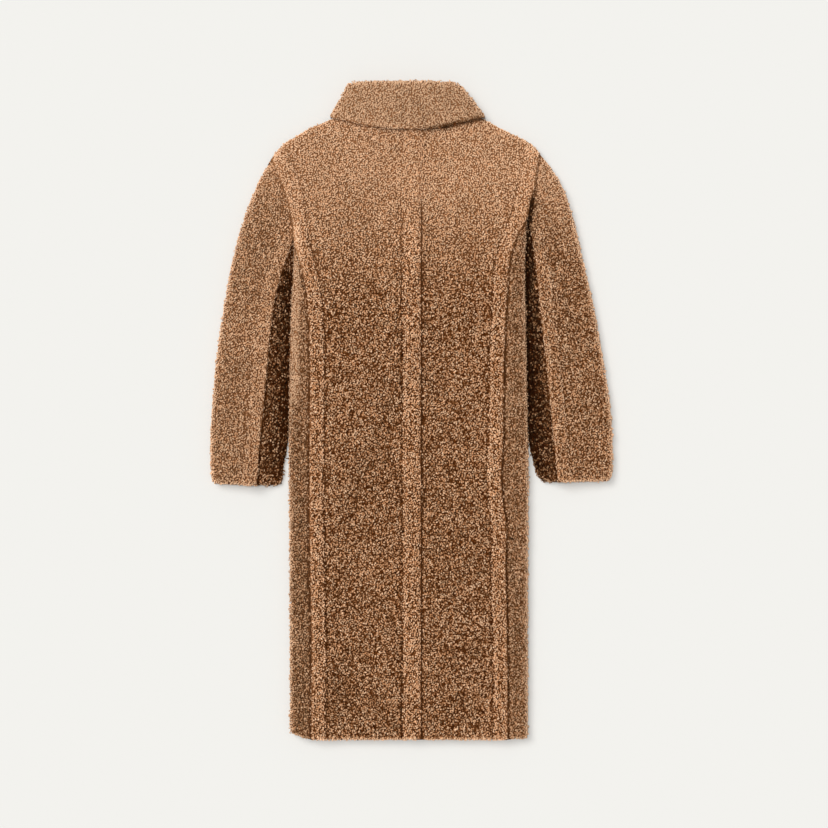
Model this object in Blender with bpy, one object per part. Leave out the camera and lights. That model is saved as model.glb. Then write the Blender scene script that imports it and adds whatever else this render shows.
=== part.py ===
"""Teddy coat laid flat with its back up, in metres.

+X is right as one looks at the back, +Y runs up to the collar and +Z out of the surface that it lies on.
Each cut piece is one closed wall of cloth with its pile, made of two skins. The outer skin carries the
pile's tips and the raised seam bands, and the inner skin is the plain back of the cloth. Both are grids
with the same rows and columns. The coat's left and right are as the back shows them.
"""

import math

import bmesh
import bpy
import numpy as np

SEAM_GAP = 0.0003
BODY_HEIGHT = 0.0250  # the front and the back panel, one on the other
MIDDLE = BODY_HEIGHT / 2
FRONT_TOP = MIDDLE - SEAM_GAP / 2
BACK_UNDER = MIDDLE + SEAM_GAP / 2
HEM_Y = -0.5915
SIGN = {"left": -1, "right": 1}

# Hem, cuff and collar edges close to a round rim: how far in each row lies, and the wall's share left there.
RIM_INSET = (0.0, 0.0025, 0.0070)
RIM_SHARE = (0.45, 0.85, 1.0)

# Shoulder line: the panels round down to the seam over this run.
SHOULDER_RUN = 0.0150
SHOULDER_ROWS = (0.0150, 0.0090, 0.0045, 0.0015, 0.0)
SHOULDER_RIM = 0.0020
ARMHOLE_SETTLE = 0.0600  # the rows take up the shoulder line's slope over this run from the armhole

CENTRE_SEAM_X = 0.0172
CENTRE_BAND_WIDTH = 0.0340
SIDE_BAND_WIDTH = 0.0270
WARP_FROM_Y = 0.2457  # above it the rows across the back bend up to the shoulder line
NECK_SIDE = {"left": 0.0960, "right": 0.0900}
NECK_Y = 0.5450

LAP_HALF = 0.0300  # the fronts lap over each other this far past the centre
LAP_STEP = 0.0012
LAP_SPLIT = 0.0096  # the height of the gap between them there
FRONT_NECK_Y = 0.4800
COLLAR_LIFT = 0.0069  # the fronts lie this high over the collar's front ends
COLLAR_LIFT_Y = (0.3600, 0.3850)
COLLAR_LIFT_X = (0.1480, 0.1720)

FOLD_STEPS = 5
FOLD_SLACK = 0.0010  # half the gap inside a fold
FOLD_SHARE = 0.8  # of a narrow piece, at most

ARMHOLE_FROM = 0.84
ARMHOLE_DROP = 0.22
UPPER_COLUMNS = 9
UPPER_FOLD_HEIGHT = 0.0240
UPPER_CROWN = 0.0045
UNDER_SEAM_HEIGHT = 0.0255
UNDER_FOLD_HEIGHT = 0.0100

ROLL_REACH = {"back": 0.0100, "front": 0.0060}
STAND_WALL = {"back": 0.01235, "front": 0.0060}
FALL_WALL = {"back": 0.0105, "front": 0.0058}
ROLL_STEPS = 5
SIDE_TURN_STEPS = 5
SIDE_TURN_BULGE = 0.0030
SIDE_TURN_DIP = 0.0040

PILE_COLOUR = (0.276, 0.138, 0.067, 1.0)
PILE_ROUGHNESS = 0.95


class Table:
    """A short table of sizes, read between its rows along the first column."""

    def __init__(self, names, rows):
        self.names = names.split()
        self.rows = np.array(rows, float)

    def line(self, name, at):
        """The named column, on straight lines between the rows."""
        return float(np.interp(at, self.rows[:, 0], self.rows[:, self.names.index(name)]))

    def curve(self, name, at):
        """The named column, on one smooth curve through the rows."""
        place, value = self.rows[:, 0], self.rows[:, self.names.index(name)]
        slope = np.gradient(value, place)
        at = min(max(at, place[0]), place[-1])
        i = min(max(int(np.searchsorted(place, at)) - 1, 0), len(place) - 2)
        span = place[i + 1] - place[i]
        t = (at - place[i]) / span
        start = (1 + 2 * t) * (1 - t) ** 2 * value[i] + t * (1 - t) ** 2 * span * slope[i]
        end = t * t * (3 - 2 * t) * value[i + 1] + t * t * (t - 1) * span * slope[i + 1]
        return float(start + end)


# The body's side edge, which is the armhole above the underarm, and the side-back seam, which runs into it.
BODY = {
    "left": Table("y edge seam", [
        (-0.5915, -0.2187, -0.1810),
        (-0.430, -0.2187, -0.1800),
        (-0.305, -0.2192, -0.1825),
        (-0.183, -0.2200, -0.1840),
        (-0.060, -0.2210, -0.1840),
        (0.062, -0.2197, -0.1830),
        (0.145, -0.2180, -0.1840),
        (0.208, -0.2155, -0.1885),
        (0.246, -0.2130, -0.1955),
        (0.278, -0.2112, -0.2040),
        (0.300, -0.2115, -0.2115),
        (0.335, -0.2143, -0.2143),
        (0.361, -0.2187, -0.2187),
        (0.397, -0.2295, -0.2295),
        (0.429, -0.2420, -0.2420),
        (0.4515, -0.2535, -0.2535),
    ]),
    "right": Table("y edge seam", [
        (-0.5915, 0.2092, 0.1730),
        (-0.489, 0.2090, 0.1735),
        (-0.366, 0.2092, 0.1715),
        (-0.244, 0.2095, 0.1695),
        (-0.190, 0.2100, 0.1695),
        (-0.180, 0.2100, 0.1662),
        (-0.060, 0.2100, 0.1655),
        (0.062, 0.2075, 0.1662),
        (0.145, 0.2062, 0.1690),
        (0.217, 0.2045, 0.1728),
        (0.267, 0.2043, 0.1768),
        (0.296, 0.2052, 0.1845),
        (0.325, 0.2070, 0.1960),
        (0.350, 0.2100, 0.2100),
        (0.375, 0.2145, 0.2145),
        (0.402, 0.2215, 0.2215),
        (0.442, 0.2270, 0.2270),
        (0.4625, 0.2305, 0.2305),
    ]),
}
SIDE_TOP_Y = {"left": 0.2940, "right": 0.3400}
UNDERARM_Y = {"left": 0.3000, "right": 0.3060}
SHOULDER_TIP_Y = {"left": 0.4515, "right": 0.4625}
HEM_CORNER = {"left": 0.0150, "right": 0.0050}
BODY_ROWS = (-0.5845, -0.572, -0.545, -0.480, -0.410, -0.340, -0.270, -0.220, -0.190, -0.180,
             -0.120, -0.050, 0.020, 0.090, 0.150, 0.208, 0.2457)

SHOULDER = {
    "left": Table("x y", [
        (-0.2535, 0.4515),
        (-0.2430, 0.4645),
        (-0.2300, 0.4790),
        (-0.2100, 0.4930),
        (-0.1810, 0.5080),
        (-0.1520, 0.5205),
        (-0.1400, 0.5255),
        (-0.1200, 0.5330),
        (-0.0960, 0.5450),
    ]),
    "right": Table("x y", [
        (0.0900, 0.5450),
        (0.1050, 0.5350),
        (0.1230, 0.5265),
        (0.1366, 0.5205),
        (0.1575, 0.5080),
        (0.1900, 0.4930),
        (0.2100, 0.4830),
        (0.2234, 0.4725),
        (0.2305, 0.4625),
    ]),
}

# How far a doubled seam edge stands proud, going in from its seam, on a band of SIDE_BAND_WIDTH.
BAND = Table("inset rise", [
    (0.0, 0.0005),
    (0.004, 0.0036),
    (0.012, 0.0046),
    (0.021, 0.0036),
    (0.027, -0.0006),
    (0.033, 0.0),
])
BAND_INSETS = (0.0, 0.004, 0.012, 0.021, 0.027, 0.033)
# The plain edge that meets a band across the seam lies a little lower.
PLAIN_EDGE = Table("inset rise", [(0.0, -0.0030), (0.005, 0.0)])
PLAIN_INSETS = (0.0, 0.005)
FRONT_EDGE_INSETS = (0.0, 0.011, 0.026)

# Sections of each sleeve, from the cuff at 0 to the armhole at 1: where its outer edge and its hind-arm
# seam lie, and how far its inner edge lies clear of the body's.
SLEEVE = {
    "left": Table("along edge_x edge_y hind_x hind_y clear", [
        (0.00, -0.3605, -0.1310, -0.2775, -0.1345, 0.0110),
        (0.06, -0.3620, -0.0950, -0.2750, -0.0970, 0.0090),
        (0.12, -0.3619, -0.0600, -0.2722, -0.0600, 0.0010),
        (0.25, -0.3585, 0.0100, -0.2648, 0.0100, 0.0),
        (0.40, -0.3505, 0.0980, -0.2574, 0.0980, 0.0),
        (0.55, -0.3379, 0.1845, -0.2480, 0.1845, 0.0),
        (0.70, -0.3175, 0.2900, -0.2370, 0.2330, 0.0),
        (0.80, -0.2966, 0.3573, -0.2285, 0.2610, 0.0),
        (0.90, -0.2770, 0.4080, -0.2200, 0.2860, 0.0),
        (1.00, -0.2535, 0.4515, -0.2120, 0.3120, 0.0),
    ]),
    "right": Table("along edge_x edge_y hind_x hind_y clear", [
        (0.00, 0.3610, -0.1265, 0.2630, -0.1285, 0.0205),
        (0.03, 0.3617, -0.1097, 0.2612, -0.1117, 0.0135),
        (0.06, 0.3620, -0.0930, 0.2595, -0.0945, 0.0090),
        (0.12, 0.3619, -0.0600, 0.2560, -0.0600, 0.0008),
        (0.25, 0.3569, 0.0120, 0.2490, 0.0120, 0.0),
        (0.40, 0.3434, 0.0980, 0.2405, 0.0980, 0.0),
        (0.55, 0.3283, 0.1845, 0.2310, 0.1845, 0.0),
        (0.70, 0.3045, 0.2850, 0.2255, 0.2400, 0.0),
        (0.80, 0.2870, 0.3600, 0.2215, 0.2780, 0.0),
        (0.90, 0.2640, 0.4180, 0.2165, 0.3120, 0.0),
        (1.00, 0.2305, 0.4625, 0.2100, 0.3500, 0.0),
    ]),
}
SLEEVE_LENGTH = 0.59
SLEEVE_ROWS = (0.03, 0.06, 0.09, 0.14, 0.20, 0.27, 0.35, 0.43, 0.51, 0.59,
               0.66, 0.72, 0.78, 0.84, 0.90, 0.95, 0.98, 1.0)
UNDER_SLEEVE_TOP = 0.98
CUFF_CORNER = Table("along inset", [(0.0, 0.0085), (0.004, 0.0045), (0.012, 0.0015), (0.03, 0.0)])

# The collar from the centre back, round the side of the neck, to its front end. face is 1 on the back and
# -1 underneath. The left and right columns are distances from the centre, and lift clears the centre band.
COLLAR = Table(
    "face neck_left neck_right neck_y roll_left roll_right roll_y fall_left fall_right fall_y lift", [
        (1, 0.0000, 0.0000, 0.5453, 0.0000, 0.0000, 0.5815, 0.0000, 0.0000, 0.5045, 0.0050),
        (1, 0.0220, 0.0220, 0.5453, 0.0220, 0.0220, 0.5815, 0.0240, 0.0230, 0.5050, 0.0050),
        (1, 0.0580, 0.0550, 0.5453, 0.0640, 0.0520, 0.5815, 0.0740, 0.0660, 0.5100, 0.0),
        (1, 0.0960, 0.0900, 0.5453, 0.1035, 0.0800, 0.5800, 0.1293, 0.1160, 0.5230, 0.0),
        (-1, 0.0960, 0.0900, 0.5453, 0.1030, 0.0800, 0.5680, 0.1293, 0.1160, 0.5290, 0.0),
        (-1, 0.0640, 0.0610, 0.5138, 0.0680, 0.0560, 0.5450, 0.0880, 0.0800, 0.4900, 0.0),
        (-1, 0.0312, 0.0312, 0.4808, 0.0350, 0.0350, 0.5120, 0.0470, 0.0450, 0.4470, 0.0),
        (-1, 0.0030, 0.0030, 0.4808, 0.0030, 0.0030, 0.5060, 0.0060, 0.0060, 0.4300, 0.0),
    ])
BACK_SIDE_ROW = 3


def smoothstep(low, high, at):
    t = min(max((at - low) / (high - low), 0.0), 1.0)
    return t * t * (3 - 2 * t)


def clear_scene():
    for old in list(bpy.data.objects):
        bpy.data.objects.remove(old, do_unlink=True)


def pile_material(name):
    material = bpy.data.materials.new("pile_" + name)
    material.use_nodes = True
    shader = material.node_tree.nodes["Principled BSDF"]
    shader.inputs["Base Color"].default_value = PILE_COLOUR
    shader.inputs["Roughness"].default_value = PILE_ROUGHNESS
    shader.inputs["Metallic"].default_value = 0.0
    return material


def wall(name, outer, inner):
    """One closed wall between two skins, which are grids of the same size."""
    rows, columns = outer.shape[:2]
    points = np.concatenate([outer.reshape(-1, 3), inner.reshape(-1, 3)])
    skin = rows * columns

    def at(row, column, layer=0):
        return layer * skin + row * columns + column

    faces = []
    for r in range(rows - 1):
        for c in range(columns - 1):
            ring = [(r, c), (r, c + 1), (r + 1, c + 1), (r + 1, c)]
            faces.append([at(*corner) for corner in ring])
            faces.append([at(*corner, 1) for corner in reversed(ring)])
    around = [(0, c) for c in range(columns)] + [(r, columns - 1) for r in range(1, rows)]
    around += [(rows - 1, c) for c in range(columns - 2, -1, -1)]
    around += [(r, 0) for r in range(rows - 2, 0, -1)]
    for here, there in zip(around, around[1:] + around[:1]):
        faces.append([at(*here, 1), at(*there, 1), at(*there), at(*here)])

    mesh = bpy.data.meshes.new(name)
    mesh.from_pydata([tuple(p) for p in points], [], faces)
    shape = bmesh.new()
    shape.from_mesh(mesh)
    bmesh.ops.recalc_face_normals(shape, faces=shape.faces)
    shape.to_mesh(mesh)
    shape.free()
    mesh.shade_smooth()
    mesh.set_sharp_from_angle(angle=math.radians(50))
    mesh.materials.append(pile_material(name))
    piece = bpy.data.objects.new(name, mesh)
    bpy.context.scene.collection.objects.link(piece)
    return piece


def close_rim(outer, inner, shares):
    """Draws both skins to the middle of the wall, each row by its share."""
    share = np.ones(len(outer))
    share[: len(shares)] = shares
    middle = (outer + inner) / 2
    return middle + (outer - middle) * share[:, None, None], middle + (inner - middle) * share[:, None, None]


def body_rows(top_y):
    """The rows' places up the body's sides, from the hem's rim to top_y."""
    rim = [HEM_Y + inset for inset in RIM_INSET[:2]]
    return rim + [y for y in BODY_ROWS if y < top_y - SEAM_GAP]


def sleeve_top_path(side):
    """Where the sleeve's head meets the body, from the hind-arm seam to the start of the fold at the tip."""
    sleeve, body = SLEEVE[side], BODY[side]
    low = sleeve.curve("hind_y", 1.0)
    high = SHOULDER_TIP_Y[side] - SHOULDER_RUN
    return [(body.curve("edge", y), y) for y in np.linspace(low, high, UPPER_COLUMNS)]


def panel_rows(side):
    """(y at the outer edge, share of the shoulder's shape, distance below the shoulder) of each row."""
    armhole = [y for _, y in sleeve_top_path(side)]
    side_top = [SIDE_TOP_Y[side]] if SIDE_TOP_Y[side] < armhole[0] else []
    between = [(BODY_ROWS[-1] + UNDERARM_Y[side]) / 2, UNDERARM_Y[side]]
    low = body_rows(armhole[0]) + between + side_top + armhole
    tip = SHOULDER_TIP_Y[side]
    rows = []
    for y in sorted(low):
        share = min(max((y - WARP_FROM_Y) / (tip - SHOULDER_RUN - WARP_FROM_Y), 0.0), 1.0)
        rows.append((y, share, SHOULDER_RUN))
    for below in SHOULDER_ROWS[1:]:
        rows.append((tip - below, 1.0, below))
    return rows


def panel_edge_x(side, y):
    """The panels' outer edge: the side-back seam, and above the underarm the armhole."""
    seam, edge = BODY[side].curve("seam", y), BODY[side].curve("edge", y)
    return min(seam, edge, key=abs) - SIGN[side] * SEAM_GAP


def back_line_y(side, x):
    """The top of the back panel: the shoulder line, then the nearly straight neck seam."""
    if abs(x) <= NECK_SIDE[side] or x * SIGN[side] < 0:
        return NECK_Y
    return min(SHOULDER[side].line("y", x), NECK_Y)


def front_line_y(side, x):
    """The top of the front panel: the shoulder line, then the neckline down to the centre front."""
    if abs(x) > NECK_SIDE[side]:
        return min(SHOULDER[side].line("y", x), NECK_Y)
    run = (abs(x) - LAP_HALF - LAP_STEP) / (NECK_SIDE[side] - LAP_HALF - LAP_STEP)
    return FRONT_NECK_Y + (NECK_Y - FRONT_NECK_Y) * min(max(run, 0.0), 1.0)


def row_y(line_y, side, edge, x, y_edge, share):
    """Where a row lies at x: it starts at the panel's outer edge and takes its share of the top's shape."""
    tip_y = SHOULDER_TIP_Y[side]
    settle = 1 - smoothstep(0, ARMHOLE_SETTLE, abs(edge - x))
    return y_edge + share * (line_y(side, x) - tip_y - settle * (line_y(side, edge) - tip_y))


def shoulder_share(side, x, below):
    """The share of the wall left near the shoulder line, which is rounded, and whole along the neck."""
    left = 1 - below / SHOULDER_RUN
    rounded = math.sqrt(max(1 - left * left, 0.0))
    outside = smoothstep(NECK_SIDE[side], NECK_SIDE[side] + 0.014, abs(x))
    return 1 - outside * (1 - rounded)


def back_columns(side, outer_x):
    """(x, distance from the side seam, distance from the centre seam) of each column of a back panel."""
    sign = SIGN[side]
    centre = CENTRE_SEAM_X + (SEAM_GAP if side == "right" else 0)
    if side == "left":
        band = [inset * CENTRE_BAND_WIDTH / SIDE_BAND_WIDTH for inset in BAND_INSETS]
        inner = [centre - inset for inset in reversed(band)]
    else:
        inner = [centre + inset for inset in reversed(PLAIN_INSETS)]
    outer = [outer_x - sign * inset for inset in BAND_INSETS]
    between = list(np.linspace(outer[-1], inner[0], 6))[1:-1]
    columns = outer + between + inner
    return [(x, sign * (outer_x - x), abs(x - centre)) for x in columns]


def centre_rise(side, inset):
    if side == "left":
        return BAND.line("rise", inset * SIDE_BAND_WIDTH / CENTRE_BAND_WIDTH)
    return PLAIN_EDGE.line("rise", inset)


def back_panel(side):
    outer, inner = [], []
    for y_edge, share, below in panel_rows(side):
        edge = panel_edge_x(side, y_edge)
        upper_row, lower_row = [], []
        for x, from_side, from_centre in back_columns(side, edge):
            y = row_y(back_line_y, side, edge, x, y_edge, share)
            rise = BAND.line("rise", from_side) + centre_rise(side, from_centre)
            left = shoulder_share(side, x, below)
            thick = SHOULDER_RIM + (BODY_HEIGHT + rise - BACK_UNDER - SHOULDER_RIM) * left
            upper_row.append((x, y, BACK_UNDER + thick))
            lower_row.append((x, y, BACK_UNDER))
        outer.append(upper_row)
        inner.append(lower_row)
    return wall("back_" + side, *close_rim(np.array(outer), np.array(inner), RIM_SHARE))


def front_columns(side, outer_x):
    """x of each column of a front panel, from its outer edge to its edge past the centre."""
    sign = SIGN[side]
    neck = sign * NECK_SIDE[side]
    lap = [sign * (LAP_HALF + LAP_STEP), sign * (LAP_HALF + SEAM_GAP), -sign * LAP_HALF]
    outer = [outer_x - sign * inset for inset in FRONT_EDGE_INSETS]
    outer += list(np.linspace(outer[-1], neck, 4))[1:]
    return outer + [(neck + lap[0]) / 2] + lap


def front_panel(side):
    """A front lies underneath: its pile faces down, and the right one laps under the left one."""
    sign = SIGN[side]
    outer, inner = [], []
    for y_edge, share, below in panel_rows(side):
        edge = panel_edge_x(side, y_edge)
        lower_row, upper_row = [], []
        for x in front_columns(side, edge):
            y = row_y(front_line_y, side, edge, x, y_edge, share)
            near_collar = 1 - smoothstep(*COLLAR_LIFT_X, abs(x))
            bottom = COLLAR_LIFT * smoothstep(*COLLAR_LIFT_Y, y) * near_collar
            left = shoulder_share(side, x, below)
            bottom = FRONT_TOP - SHOULDER_RIM - (FRONT_TOP - SHOULDER_RIM - bottom) * left
            top = FRONT_TOP
            if x * sign <= LAP_HALF + SEAM_GAP:
                if side == "right":
                    top = LAP_SPLIT - SEAM_GAP / 2
                else:
                    bottom = LAP_SPLIT + SEAM_GAP / 2
            lower_row.append((x, y, bottom))
            upper_row.append((x, y, top))
        outer.append(lower_row)
        inner.append(upper_row)
    return wall("front_" + side, *close_rim(np.array(outer), np.array(inner), RIM_SHARE))


def fold_section(path, tip, tops, halves, below):
    """One section of a piece that is folded round an edge: out along path, round the tip and back below.

    below picks the points of the path that the under layer also has.
    """
    outer = [(x, y, top) for (x, y), top in zip(path, tops)]
    inner = [(x, y, half + SEAM_GAP / 2) for (x, y), half in zip(path, halves)]
    (start_x, start_y), height = path[-1], tops[-1]
    for step in range(1, FOLD_STEPS + 1):
        angle = math.pi / 2 - math.pi * step / (FOLD_STEPS + 1)
        out, up = math.cos(angle), math.sin(angle)
        outer.append((
            start_x + (tip[0] - start_x) * out,
            start_y + (tip[1] - start_y) * out,
            height / 2 * (1 + up),
        ))
        inner.append((
            start_x + (tip[0] - start_x) * out * 0.15,
            start_y + (tip[1] - start_y) * out * 0.15,
            halves[-1] + FOLD_SLACK * up,
        ))
    outer += [(*path[i], 0.0) for i in below]
    inner += [(*path[i], halves[i] - SEAM_GAP / 2) for i in below]
    return outer, inner


def straight_path(start, tip, reach, insets, count):
    """Points from start towards tip that stop short of it by reach: the insets, then even steps."""
    start, tip = np.array(start), np.array(tip)
    length = float(np.linalg.norm(tip - start))
    run = length - min(reach, FOLD_SHARE * length)
    squeeze = min(1.0, 0.7 * run / insets[-1])
    places = [inset * squeeze for inset in insets]
    places += list(np.linspace(places[-1], run, count - len(insets) + 1))[1:]
    points = [tuple(start + (tip - start) * place / length) for place in places]
    return points, [place / squeeze for place in places], [place / run for place in places]


def side_panel(side):
    """Folded round the body's side edge, from the side-back seam above to the side-front seam below."""
    body, sign = BODY[side], SIGN[side]
    ys = body_rows(SIDE_TOP_Y[side])
    ys += [y for y, _, _ in panel_rows(side) if WARP_FROM_Y < y < SIDE_TOP_Y[side] + SEAM_GAP]
    if ys[-1] < SIDE_TOP_Y[side] - SEAM_GAP:
        ys.append(SIDE_TOP_Y[side])
    outer, inner = [], []
    for y in ys:
        corner = max(HEM_CORNER[side] - (y - HEM_Y), 0.0) / HEM_CORNER[side]
        start = (body.curve("seam", y), y)
        tip = (body.curve("edge", y) - sign * HEM_CORNER[side] * 0.5 * corner**2,
               y + HEM_CORNER[side] * 0.6 * corner)
        path, insets, _ = straight_path(start, tip, MIDDLE, PLAIN_INSETS, 4)
        tops = [BODY_HEIGHT + PLAIN_EDGE.line("rise", inset) for inset in insets]
        section = fold_section(path, tip, tops, [MIDDLE] * len(path), (3, 0))
        outer.append(section[0])
        inner.append(section[1])
    return wall("side_panel_" + side, *close_rim(np.array(outer), np.array(inner), RIM_SHARE))


def sleeve_rows(top):
    """The sections' places along a sleeve, from the cuff's rim to the given top."""
    rim = [inset / SLEEVE_LENGTH for inset in RIM_INSET]
    return rim + [along for along in SLEEVE_ROWS if along <= top]


def armhole_share(along):
    """A sleeve sinks towards the seam at its head."""
    return 1 - ARMHOLE_DROP * smoothstep(ARMHOLE_FROM, 1.0, along)


def upper_sleeve(side):
    """Folded round the sleeve's outer edge, from the hind-arm seam above to the fore-arm seam below."""
    sleeve, sign = SLEEVE[side], SIGN[side]
    head = [(x + sign * SEAM_GAP, y) for x, y in sleeve_top_path(side)]
    outer, inner = [], []
    for along in sleeve_rows(1.0):
        corner = CUFF_CORNER.line("inset", along)
        start = (sleeve.curve("hind_x", along) + sign * SEAM_GAP, sleeve.curve("hind_y", along))
        tip = (sleeve.curve("edge_x", along) - sign * corner, sleeve.curve("edge_y", along))
        reach = UPPER_FOLD_HEIGHT / 2
        path, insets, shares = straight_path(start, tip, reach, BAND_INSETS[:5], UPPER_COLUMNS)
        towards_head = smoothstep(ARMHOLE_FROM, 1.0, along)
        if along == 1.0:
            path = head
        else:
            shifts = towards_head * np.linspace(0, 1, UPPER_COLUMNS)[:, None]
            path = [tuple(p) for p in np.array(path) * (1 - shifts) + np.array(head) * shifts]
        sink = armhole_share(along)
        bases = [sink * (UPPER_FOLD_HEIGHT + UPPER_CROWN * (1 - share**2.5)) for share in shares]
        rises = [BAND.line("rise", inset) * (1 - towards_head) for inset in insets]
        tops = [base + rise for base, rise in zip(bases, rises)]
        halves = [base / 2 for base in bases]
        section = fold_section(path, tip, tops, halves, range(UPPER_COLUMNS - 1, -1, -1))
        outer.append(section[0])
        inner.append(section[1])
    return wall("upper_sleeve_" + side, *close_rim(np.array(outer), np.array(inner), RIM_SHARE))


def under_sleeve(side):
    """Folded round the sleeve's inner edge, which slopes down into the crease beside the body."""
    sleeve, body, sign = SLEEVE[side], BODY[side], SIGN[side]
    outer, inner = [], []
    for along in sleeve_rows(UNDER_SLEEVE_TOP):
        corner = CUFF_CORNER.line("inset", along)
        y = sleeve.curve("hind_y", along)
        start = (sleeve.curve("hind_x", along), y)
        clear = max(sleeve.line("clear", along), 0.0) + SEAM_GAP + corner
        tip = (body.curve("edge", y) + sign * clear, y)
        path, insets, shares = straight_path(start, tip, UNDER_FOLD_HEIGHT / 2, PLAIN_INSETS, 6)
        drop = UNDER_SEAM_HEIGHT - UNDER_FOLD_HEIGHT
        bases = [armhole_share(along) * (UNDER_SEAM_HEIGHT - drop * share) for share in shares]
        tops = [base + PLAIN_EDGE.line("rise", inset) for base, inset in zip(bases, insets)]
        section = fold_section(path, tip, tops, [base / 2 for base in bases], (5, 2, 0))
        outer.append(section[0])
        inner.append(section[1])
    return wall("under_sleeve_" + side, *close_rim(np.array(outer), np.array(inner), RIM_SHARE))


def collar_stations():
    """(side sign, how far the face has turned from back to front in radians, the sizes there), in order."""
    rows = COLLAR.rows
    half = []
    for i in range(BACK_SIDE_ROW + 1):
        half.append((math.pi / 2, rows[i]))
        if 0 < i < BACK_SIDE_ROW:
            after = rows[min(i + 2, BACK_SIDE_ROW)]
            halfway = (9 * (rows[i] + rows[i + 1]) - rows[i - 1] - after) / 16
            half.append((math.pi / 2, halfway))
    back, front = rows[BACK_SIDE_ROW], rows[BACK_SIDE_ROW + 1]
    for step in range(1, SIDE_TURN_STEPS + 1):
        angle = math.pi / 2 - math.pi * step / (SIDE_TURN_STEPS + 1)
        mixed = back + (front - back) * (1 - math.sin(angle)) / 2
        mixed[COLLAR.names.index("fall_y")] += SIDE_TURN_BULGE * math.cos(angle)
        mixed[COLLAR.names.index("roll_y")] -= SIDE_TURN_DIP * math.cos(angle)
        half.append((angle, mixed))
    half += [(-math.pi / 2, row) for row in rows[BACK_SIDE_ROW + 1:]]
    left = [("left", angle, row) for angle, row in reversed(half[1:])]
    return left + [("right", angle, row) for angle, row in half]


def collar_section(side, angle, sizes):
    """The collar's section at one station: up the stand, over the roll and down the fall."""
    size = dict(zip(COLLAR.names, sizes))
    back = (1 + math.sin(angle)) / 2

    def mixed(pair):
        return pair["front"] + (pair["back"] - pair["front"]) * back

    neck = np.array([SIGN[side] * size["neck_" + side], size["neck_y"]])
    roll = np.array([SIGN[side] * size["roll_" + side], size["roll_y"]])
    fall = np.array([SIGN[side] * size["fall_" + side], size["fall_y"]])
    up = (roll - neck) / np.linalg.norm(roll - neck)
    stand, reach = mixed(STAND_WALL), mixed(ROLL_REACH)
    fall_in = stand + SEAM_GAP + size["lift"]
    fall_out = fall_in + mixed(FALL_WALL)

    def place(plan, depth):
        x = plan[0] + SIGN[side] * depth * math.cos(angle)
        return (x, plan[1], MIDDLE + math.sin(angle) * (SEAM_GAP / 2 + depth))

    stand_run = [neck, (neck + roll) / 2, roll]
    fall_run = [roll + (fall - roll) * t for t in (0.0, 0.5, 0.93, 1.0)]
    shares = (1.0, 1.0, 0.9, 0.5)
    outer = [place(p, 0.0) for p in stand_run]
    inner = [place(p, stand) for p in stand_run]
    for step in range(1, ROLL_STEPS + 1):
        turn = math.pi * step / (ROLL_STEPS + 1)
        out, across = math.sin(turn), (1 - math.cos(turn)) / 2
        outer.append(place(roll + up * reach * out, fall_out * across))
        inner.append(place(roll + up * reach * out * 0.12, stand + (fall_in - stand) * across))
    middle = (fall_in + fall_out) / 2
    for p, share in zip(fall_run, shares):
        half = (fall_out - fall_in) / 2 * share
        outer.append(place(p, middle + half))
        inner.append(place(p, middle - half))
    return outer, inner


def collar():
    sections = [collar_section(*station) for station in collar_stations()]
    outer, inner = zip(*sections)
    return wall("collar", np.array(outer), np.array(inner))


def build():
    clear_scene()
    for side in SIGN:
        back_panel(side)
        front_panel(side)
        side_panel(side)
        upper_sleeve(side)
        under_sleeve(side)
    collar()


build()
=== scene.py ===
"""Looks of the teddy coat: backing cloth, curly pile, floor, lights and camera, in metres.

Each cut piece gets a backing cloth inside its solid, and locks of curled pile that rise from the
backing to the solid's surface wherever nothing covers it. Seams and band edges lie in grooves of
the pile, and the main creases are soft troughs and ridges in the backing and the pile alike.
Light and shade are also painted into the pile's colour: painted shade at the locks' roots, in the
grooves and troughs, under the collar's edge and between each sleeve and the body, and painted
light on the bands, at the garment's rim and up the coat.
"""

import math

import bmesh
import bpy
import numpy as np
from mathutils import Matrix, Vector, noise
from mathutils.bvhtree import BVHTree
from mathutils.kdtree import KDTree


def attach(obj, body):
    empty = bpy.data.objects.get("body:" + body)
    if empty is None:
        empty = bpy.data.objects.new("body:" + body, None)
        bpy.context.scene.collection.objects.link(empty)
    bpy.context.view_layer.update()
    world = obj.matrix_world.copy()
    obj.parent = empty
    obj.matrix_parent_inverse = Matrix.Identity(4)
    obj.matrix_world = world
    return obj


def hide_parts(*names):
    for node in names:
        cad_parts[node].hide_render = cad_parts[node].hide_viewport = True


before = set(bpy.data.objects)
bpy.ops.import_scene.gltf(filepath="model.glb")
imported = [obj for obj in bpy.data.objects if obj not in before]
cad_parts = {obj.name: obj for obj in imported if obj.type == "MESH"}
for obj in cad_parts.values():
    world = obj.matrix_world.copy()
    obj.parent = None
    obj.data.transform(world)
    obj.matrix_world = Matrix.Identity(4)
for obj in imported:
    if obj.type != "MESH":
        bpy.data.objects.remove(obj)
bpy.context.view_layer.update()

SEED = 11
BODY = "root"
TINY = 1e-12  # lengths and areas below this count as none
JOIN_DIGITS = 6  # corners that agree to this many decimals are one

# The backing.
PILE_DEPTH = 0.0045
DEPTH_SHARE = 0.32  # of the wall, at most
WALL_REACH = 0.0500  # how far away the wall's other face is looked for
BACKING_EDGE = 0.0280  # its longest edge, after so many splits at most
BACKING_SPLITS = 8
LAYER_REACH = 0.0030  # it isn't drawn in where another layer lies this close
CREASE_REACH = 0.0090  # nor on a side that has a neighbour this close
SIDE_ON = 0.6  # a side is where the normal's Z is less than this, up or down
TOP_REACH = 0.0065  # an under sleeve's backing runs on this far where the armhole's seams meet
TOP_RUN = 0.0200  # and draws out over this stretch below

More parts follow.
